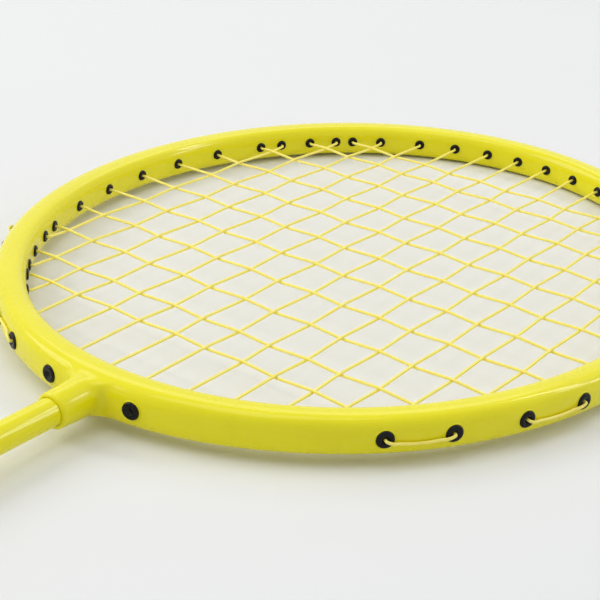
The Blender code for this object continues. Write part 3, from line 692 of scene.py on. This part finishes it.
def run_height(turn, z):
    """How high over the outer face a string lies: over a flange, or down on the paint."""
    here = hoop_point(turn, outer_face(turn), z)
    gap = min((here - flange).length for flange in OUTER_FLANGES)
    part = smooth_step((gap - NEAR_FLANGE) / FLANGE_FADE)
    return OVER_FLANGE * (1 - part) + ON_PAINT * part - face_drop(turn, z)


def outside_run(start, end, shift):
    """Out of one hole, along the outer face and into the next, hugging the paint."""
    points = [hoop_point(start, outer_face(start) - HOLE_DEPTH)]
    for step in range(RUN_STEPS + 1):
        part = step / RUN_STEPS
        turn = start + (end - start) * part
        z = shift * max(0.0, math.sin(math.pi * part)) ** RUN_SQUARENESS
        points.append(hoop_point(turn, outer_face(turn) + run_height(turn, z), z))
    return points + [hoop_point(end, outer_face(end) - HOLE_DEPTH)]


def inside_turn(start, end):
    """From one hole to the next inside the hoop, out of sight."""
    points = [hoop_point(start)]
    for part in (0.25, 0.5, 0.75):
        points.append(hoop_point(start + (end - start) * part, 0, INSIDE_SHIFT))
    return points + [hoop_point(end)]


def shorter_way(start, end):
    if abs(end - start) > math.pi:
        end -= math.copysign(2 * math.pi, end - start)
    return end


def knot(turn, shift):
    """Out of the hole, nearly twice round itself and into a short cut end."""
    side = math.copysign(1.0, shift)
    middle = outer_face(turn) + KNOT_HEIGHT
    points = [hoop_point(turn, outer_face(turn) - HOLE_DEPTH)]
    place = hole_frame(turn)
    for step in range(KNOT_STEPS + 1):
        turned = KNOT_TURNS * step / KNOT_STEPS
        angle = 2 * math.pi * turned
        points.append(place @ Vector((KNOT_RADIUS * math.sin(angle),
                                      side * (KNOT_START + KNOT_PITCH * turned),
                                      middle - KNOT_RADIUS * math.cos(angle))))
    return points + [points[-1] - hoop_normal(turn) * KNOT_END_IN
                     + Vector((0, 0, side * KNOT_END_ASIDE))]


def main_route():
    route = [hoop_point(main_turn(main_y(0), THROAT))]
    for main in range(MAIN_COUNT):
        points = main_strand(main)
        end = TIP if main % 2 == 0 else THROAT
        route += points if end == TIP else points[::-1]
        if main + 1 < MAIN_COUNT:
            start = main_turn(main_y(main), end)
            finish = shorter_way(start, main_turn(main_y(main + 1), end))
            if turns_inside(main, end):
                route += inside_turn(start, finish)
            else:
                route += outside_run(start, finish, RUN_SHIFT)
    return route + knot(main_turn(main_y(MAIN_COUNT - 1), THROAT), RUN_SHIFT)


def cross_route():
    route = knot(cross_turn(cross_x(0), FAR), -RUN_SHIFT)[::-1]
    for cross in range(CROSS_COUNT):
        points = cross_strand(cross)
        side = NEAR if cross % 2 == 0 else FAR
        route += points if side == FAR else points[::-1]
        if cross + 1 < CROSS_COUNT:
            route += outside_run(cross_turn(cross_x(cross), side),
                                 cross_turn(cross_x(cross + 1), side), -RUN_SHIFT)
    return route + knot(cross_turn(cross_x(CROSS_COUNT - 1), NEAR), -RUN_SHIFT)


# --- the shaft, the cone and the handle's pieces

TO_X = Matrix.Rotation(math.pi / 2, 4, "Y")


def rod(start, end, radius, chamfer):
    """A chamfered rod along X, with a ring beside each chamfer that keeps its side straight in
    smooth shading."""
    profile = [(AXIS / 2, start), (radius - chamfer, start), (radius, start + chamfer),
               (radius, start + 2 * chamfer), (radius, end - 2 * chamfer),
               (radius, end - chamfer), (radius - chamfer, end), (AXIS / 2, end)]
    return skin(lathe(profile, ROD_SIDES, TO_X))


def octagon_reach(turn, sharpness):
    """The radius at a turn of an octagon of half width 1 with rounded corners."""
    total = sum(max(0.0, math.cos(turn - math.pi / 4 * side)) ** sharpness for side in range(8))
    return total ** (-1 / sharpness)


def octagon_ring(x, half_width, half_thickness, roundness=0.0, sharpness=OCTAGON_SHARPNESS,
                 lift=None):
    """Points round the handle at x; roundness 1 is an ellipse, and lift(turn) adds to the
    radius."""
    ring = []
    for step in range(OCTAGON_SIDES):
        turn = 2 * math.pi * step / OCTAGON_SIDES
        reach = octagon_reach(turn, sharpness) * (1 - roundness) + roundness
        extra = lift(turn) if lift else 0.0
        ring.append(Vector((x, (half_width * reach + extra) * math.cos(turn),
                            (half_thickness * reach + extra) * math.sin(turn))))
    return ring


RATIO = HANDLE_THICKNESS / HANDLE_WIDTH


def half_width_at(x):
    """The handle's half width, which flares out at the butt."""
    part = max(0.0, 1 - (x - X_HANDLE) / FLARE_LENGTH)
    return HANDLE_WIDTH / 2 + BUTT_FLARE * part ** 2


def cone_body():
    """From the handle's octagon over a straight sleeve and a sweep to a round, beaded end."""
    rings = [octagon_ring(X_CONE, HANDLE_WIDTH / 2, HANDLE_THICKNESS / 2)]
    start = X_CONE + CONE_SLEEVE
    for step in range(CONE_ROWS + 1):
        part = step / CONE_ROWS
        sweep = math.sin(part * math.pi / 2)
        rings.append(octagon_ring(
            start + (X_CONE_TIP - 2 * BEAD - start) * part,
            (HANDLE_WIDTH + (CONE_TIP - HANDLE_WIDTH) * sweep) / 2,
            (HANDLE_THICKNESS + (CONE_TIP - HANDLE_THICKNESS) * sweep) / 2, sweep))
    bore = SHAFT_DIAMETER / 2 + CONE_BORE_ROOM
    for step in range(1, FILLET_STEPS + 1):
        angle = math.pi / 2 * step / FILLET_STEPS
        radius = CONE_TIP / 2 + BEAD_RISE - BEAD * (1 - math.cos(angle))
        rings.append(octagon_ring(X_CONE_TIP - BEAD + BEAD * math.sin(angle), radius, radius, 1))
    rings += [octagon_ring(X_CONE_TIP - BEAD / 4, bore, bore, 1),
              octagon_ring(X_CONE_TIP - CONE_BORE_DEPTH, bore, bore, 1)]
    return skin(rings)


def lap_height(phase):
    """The wound tape's surface across one lap, at the part of it that phase says: its edge
    stands on the lap before it."""
    edge = smooth_step(phase / 0.05) * (1 - smooth_step((phase - 0.08) / 0.34))
    dip = smooth_step((phase - 0.93) / 0.07) + (1 - smooth_step(phase / 0.035))
    return LAP_RISE * edge - LAP_DIP * min(1.0, dip)


def grip_body():
    """The wound grip's skin, with a UV map in millimetres that runs along the tape."""
    start, length = X_HANDLE, X_GRIP_END - X_HANDLE
    first_edge = X_HANDLE + LAP_PITCH / 2
    slope = LAP_PITCH / (math.pi * HANDLE_WIDTH)
    rings, uvs = [], []

    def ring_at(x, thickness, laps):
        half = half_width_at(x) + thickness
        ring = []
        for step in range(GRIP_SIDES):
            turn = 2 * math.pi * step / GRIP_SIDES
            reach = octagon_reach(turn, GRIP_SHARPNESS)
            phase = ((x - first_edge) / LAP_PITCH - turn / (2 * math.pi) + 1 / 16) % 1.0
            extra = lap_height(phase) if laps else 0.0
            ring.append(Vector((x, (half * reach + extra) * math.cos(turn),
                                (half * RATIO * reach + extra) * math.sin(turn))))
            round_way = turn / (2 * math.pi) * math.pi * HANDLE_WIDTH
            uvs.append(((x - slope * round_way) * 1000, (round_way + slope * x) * 1000))
        return ring

    rings.append(ring_at(start, GRIP_FOOT, False))
    for step in range(GRIP_ROWS + 1):
        x = start + length * step / GRIP_ROWS
        inset = GRIP_ROUNDING * (1 - min(1.0, step / 2, (GRIP_ROWS - step) / 2))
        rings.append(ring_at(x, GRIP_THICKNESS - LAP_ALLOWANCE - inset, True))
    rings.append(ring_at(start + length, GRIP_FOOT, False))
    verts, faces = skin(rings)
    return verts, faces, uvs


def tape_body():
    """A thin band over the grip's end, the handle and the cone's sleeve, in two laps."""
    low, high = HANDLE_WIDTH / 2 + TAPE_GAP, HANDLE_WIDTH / 2 + GRIP_THICKNESS + TAPE_GAP

    def base(x):
        return high + (low - high) * smooth_step((x - X_GRIP_END - TAPE_GAP) / TAPE_SLOPE)

    def ring_at(x, thickness):
        half = base(x) + thickness

        def lift(turn):
            phase = ((x - TAPE_START) / TAPE_LAP - turn / (2 * math.pi)) % 1.0
            rise = smooth_step(phase / 0.05) * (1 - smooth_step((phase - 0.1) / 0.8))
            return TAPE_LAP_RISE * rise

        return octagon_ring(x, half, half * RATIO, sharpness=TAPE_SHARPNESS, lift=lift)

    rings = [ring_at(TAPE_START, 0.0)]
    for step in range(TAPE_ROWS + 1):
        x = TAPE_START + (TAPE_END - TAPE_START) * step / TAPE_ROWS
        edge = min(1.0, step / 2 + TAPE_EDGE, (TAPE_ROWS - step) / 2 + TAPE_EDGE)
        rings.append(ring_at(x, TAPE_THICKNESS * edge))
    rings.append(ring_at(TAPE_END, 0.0))
    return skin(rings)


def cap_body():
    """The butt cap: an octagon with rounded edges and a shallow ring in its end face."""
    half = half_width_at(X_HANDLE) + GRIP_THICKNESS
    rings = [octagon_ring(depth, radius, radius, 1) for radius, depth in CAP_FACE]
    rings.append(octagon_ring(0.0, half - CAP_FACE_MARGIN, (half - CAP_FACE_MARGIN) * RATIO))
    for step in range(CAP_EDGE_ROWS + 1):
        angle = math.pi / 2 * step / CAP_EDGE_ROWS
        inset = CAP_ROUNDING * (1 - math.sin(angle))
        rings.append(octagon_ring(CAP_ROUNDING * (1 - math.cos(angle)), half - inset,
                                  half * RATIO - inset))
    rings += [octagon_ring(CAP_THICKNESS - CAP_CLOSING, half, half * RATIO),
              octagon_ring(CAP_THICKNESS, half - CAP_CLOSING, half * RATIO - CAP_CLOSING),
              octagon_ring(CAP_THICKNESS, CAP_CLOSING, CAP_CLOSING, 1)]
    return skin(rings)


# --- the pieces

def build_racket():
    verts, faces = frame_skin()
    add_piece("frame_skin", verts, faces, PAINT, ["frame"])
    verts, faces = joined([paint_rim(turn) for _, turn, kind in HOLES if kind != "bush"])
    add_piece("hole_rims", verts, faces, PAINT)
    verts, faces = joined([grommet_body(turn, kind) for _, turn, kind in HOLES])
    add_piece("grommets", verts, faces, GROMMET, [node for node, _, _ in HOLES if node])
    for name, route in (("main_string", main_route()), ("cross_string", cross_route())):
        verts, faces, uvs = string_tube(rounded(route))
        add_piece(f"{name}_woven", verts, faces, STRING, [name], uvs)
    verts, faces = rod(SHAFT_START, X_THROAT, SHAFT_DIAMETER / 2, SHAFT_CHAMFER)
    add_piece("shaft_rod", verts, faces, PAINT, ["shaft"])
    verts, faces = cone_body()
    add_piece("cone_cover", verts, faces, CONE, ["cone"])
    verts, faces, uvs = grip_body()
    add_piece("grip_wound", verts, faces, GRIP, ["grip"], uvs)
    verts, faces = tape_body()
    add_piece("tape_band", verts, faces, TAPE, ["finishing_tape"])
    verts, faces = cap_body()
    add_piece("end_cap", verts, faces, CAP, ["butt_cap"])
    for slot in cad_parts["handle"].material_slots:
        slot.material = WOOD


build_racket()


# --- the floor, the lights and the camera

BACKDROP = (0.93, 0.93, 0.92, 1)
SKY, SKY_STRENGTH = (0.95, 0.97, 1.0, 1), 0.50
FLOOR, FLOOR_DARKER, FLOOR_REACH = (0.82, 0.82, 0.81), 0.985, 6.0
FLOOR_AT_BUTT, FLOOR_AT_TIP = -0.0129, -0.0057     # its height, where the racket rests on it
FADE_START, FADE_END = 0.6, 2.0                    # from the middle of the racket
MIDDLE = (0.45, 0.0, 0.0)
LIGHTS = (    # name, place, target, size, watts, the direction of its first side
    ("key", (-0.15, 1.10, 1.00), MIDDLE, (1.30, 1.00), 11.0, (1, 0, 0)),
    ("top", (0.35, 0.10, 1.60), MIDDLE, (1.20, 0.90), 5.4, (1, 0, 0)),
    ("back", (1.40, 0.69, 1.02), MIDDLE, (1.00, 0.42), 1.7, (-0.59, 0.81, 0)),
    ("glint", (1.26, -0.92, 0.62), (0.40, 0, 0), (0.13, 0.50), 1.6, (0.655, 0.615, 0)),
    ("strip", (1.36, -0.46, 1.01), (0.50, -0.09, 0), (0.76, 0.10), 2.0, (0.09, 0.58, 0.21)))
CAMERA_LENS, CAMERA_SENSOR = 89.37, 36.0           # in millimetres
CAMERA_PLACE = (0.17655, -0.22597, 0.18681)
CAMERA_RIGHT = (0.58543, -0.80702, 0.07735)
CAMERA_DOWN = (-0.30661, -0.30872, -0.90038)
CAMERA_AHEAD = (0.75050, 0.50340, -0.42818)


def floor_material():
    """A matt floor that goes over into the backdrop's colour well away from the racket."""
    n = Nodes("floor_pale")
    tone = n.noise(n.place(), 0.004, 2.0)
    n.link(n.ramp(tone, (0.3, tuple(FLOOR_DARKER * c for c in FLOOR)), (0.7, FLOOR)),
           n.shader.inputs["Base Color"])
    n.set(Roughness=0.7, Specular_IOR_Level=0.2)
    away = n.add("ShaderNodeVectorMath", operation="DISTANCE")
    away.inputs[1].default_value = MIDDLE
    fade = n.add("ShaderNodeMapRange", interpolation_type="SMOOTHSTEP",
                 From_Min=FADE_START, From_Max=FADE_END)
    n.link(n.place((0.001, 0.001, 0.001)), away.inputs[0])
    n.link(away.outputs["Value"], fade.inputs["Value"])
    rays = n.add("ShaderNodeLightPath")
    seen = n.math("MAXIMUM", rays.outputs["Is Camera Ray"], rays.outputs["Is Glossy Ray"])
    glow, mix = n.add("ShaderNodeEmission", Color=BACKDROP), n.add("ShaderNodeMixShader")
    n.link(n.math("MULTIPLY", fade.outputs["Result"], seen), mix.inputs["Fac"])
    n.link(n.shader.outputs[0], mix.inputs[1]).link(glow.outputs[0], mix.inputs[2])
    n.link(mix.outputs[0], n.tree.nodes["Material Output"].inputs["Surface"])
    return n.material


def add_stage():
    """A pale floor that the butt and the tip of the head rest on."""
    slope = (FLOOR_AT_TIP - FLOOR_AT_BUTT) / (X_HEAD + HOOP_A)
    verts = [(x * FLOOR_REACH, y * FLOOR_REACH, FLOOR_AT_BUTT + slope * x * FLOOR_REACH)
             for x, y in ((-1, -1), (1, -1), (1, 1), (-1, 1))]
    mesh = bpy.data.meshes.new("floor")
    mesh.from_pydata(verts, [], [(0, 1, 2, 3)])
    mesh.materials.append(floor_material())
    floor = bpy.data.objects.new("floor", mesh)
    bpy.context.scene.collection.objects.link(floor)


def add_light(name, place, target, size, power, along):
    """A soft box at a place, facing the target, its first side lying along a direction."""
    light = bpy.data.lights.new(name, "AREA")
    light.shape = "RECTANGLE"
    light.size, light.size_y = size
    light.energy = power
    item = bpy.data.objects.new(name, light)
    back = (Vector(place) - Vector(target)).normalized()
    side = (Vector(along) - back * back.dot(Vector(along))).normalized()
    turned = Matrix((side, back.cross(side), back)).transposed().to_4x4()
    item.matrix_world = Matrix.Translation(place) @ turned
    bpy.context.scene.collection.objects.link(item)


def add_world():
    """An even sky, and a near-white backdrop where it is seen or mirrored."""
    world = bpy.data.worlds.new("studio")
    world.use_nodes = True
    tree = world.node_tree
    sky, output = tree.nodes["Background"], tree.nodes["World Output"]
    sky.inputs["Color"].default_value = SKY
    sky.inputs["Strength"].default_value = SKY_STRENGTH
    seen = tree.nodes.new("ShaderNodeBackground")
    seen.inputs["Color"].default_value = BACKDROP
    rays, either = tree.nodes.new("ShaderNodeLightPath"), tree.nodes.new("ShaderNodeMath")
    either.operation, either.use_clamp = "ADD", True
    tree.links.new(rays.outputs["Is Camera Ray"], either.inputs[0])
    tree.links.new(rays.outputs["Is Glossy Ray"], either.inputs[1])
    mix = tree.nodes.new("ShaderNodeMixShader")
    tree.links.new(either.outputs[0], mix.inputs["Fac"])
    tree.links.new(sky.outputs[0], mix.inputs[1])
    tree.links.new(seen.outputs[0], mix.inputs[2])
    tree.links.new(mix.outputs[0], output.inputs["Surface"])
    bpy.context.scene.world = world


def add_camera():
    """The photograph's camera, fitted to the racket's head in it."""
    camera = bpy.data.cameras.new("camera")
    camera.sensor_width, camera.lens = CAMERA_SENSOR, CAMERA_LENS
    camera.clip_start, camera.clip_end = 0.005, 50.0
    item = bpy.data.objects.new("camera", camera)
    rows = zip(CAMERA_RIGHT, CAMERA_DOWN, CAMERA_AHEAD, CAMERA_PLACE)
    item.matrix_world = Matrix([(right, -down, -ahead, place)
                                for right, down, ahead, place in rows] + [(0, 0, 0, 1)])
    bpy.context.scene.collection.objects.link(item)
    bpy.context.scene.camera = item


add_stage()
add_world()
for light_row in LIGHTS:
    add_light(*light_row)
add_camera()
bpy.context.scene.view_settings.view_transform = "Standard"
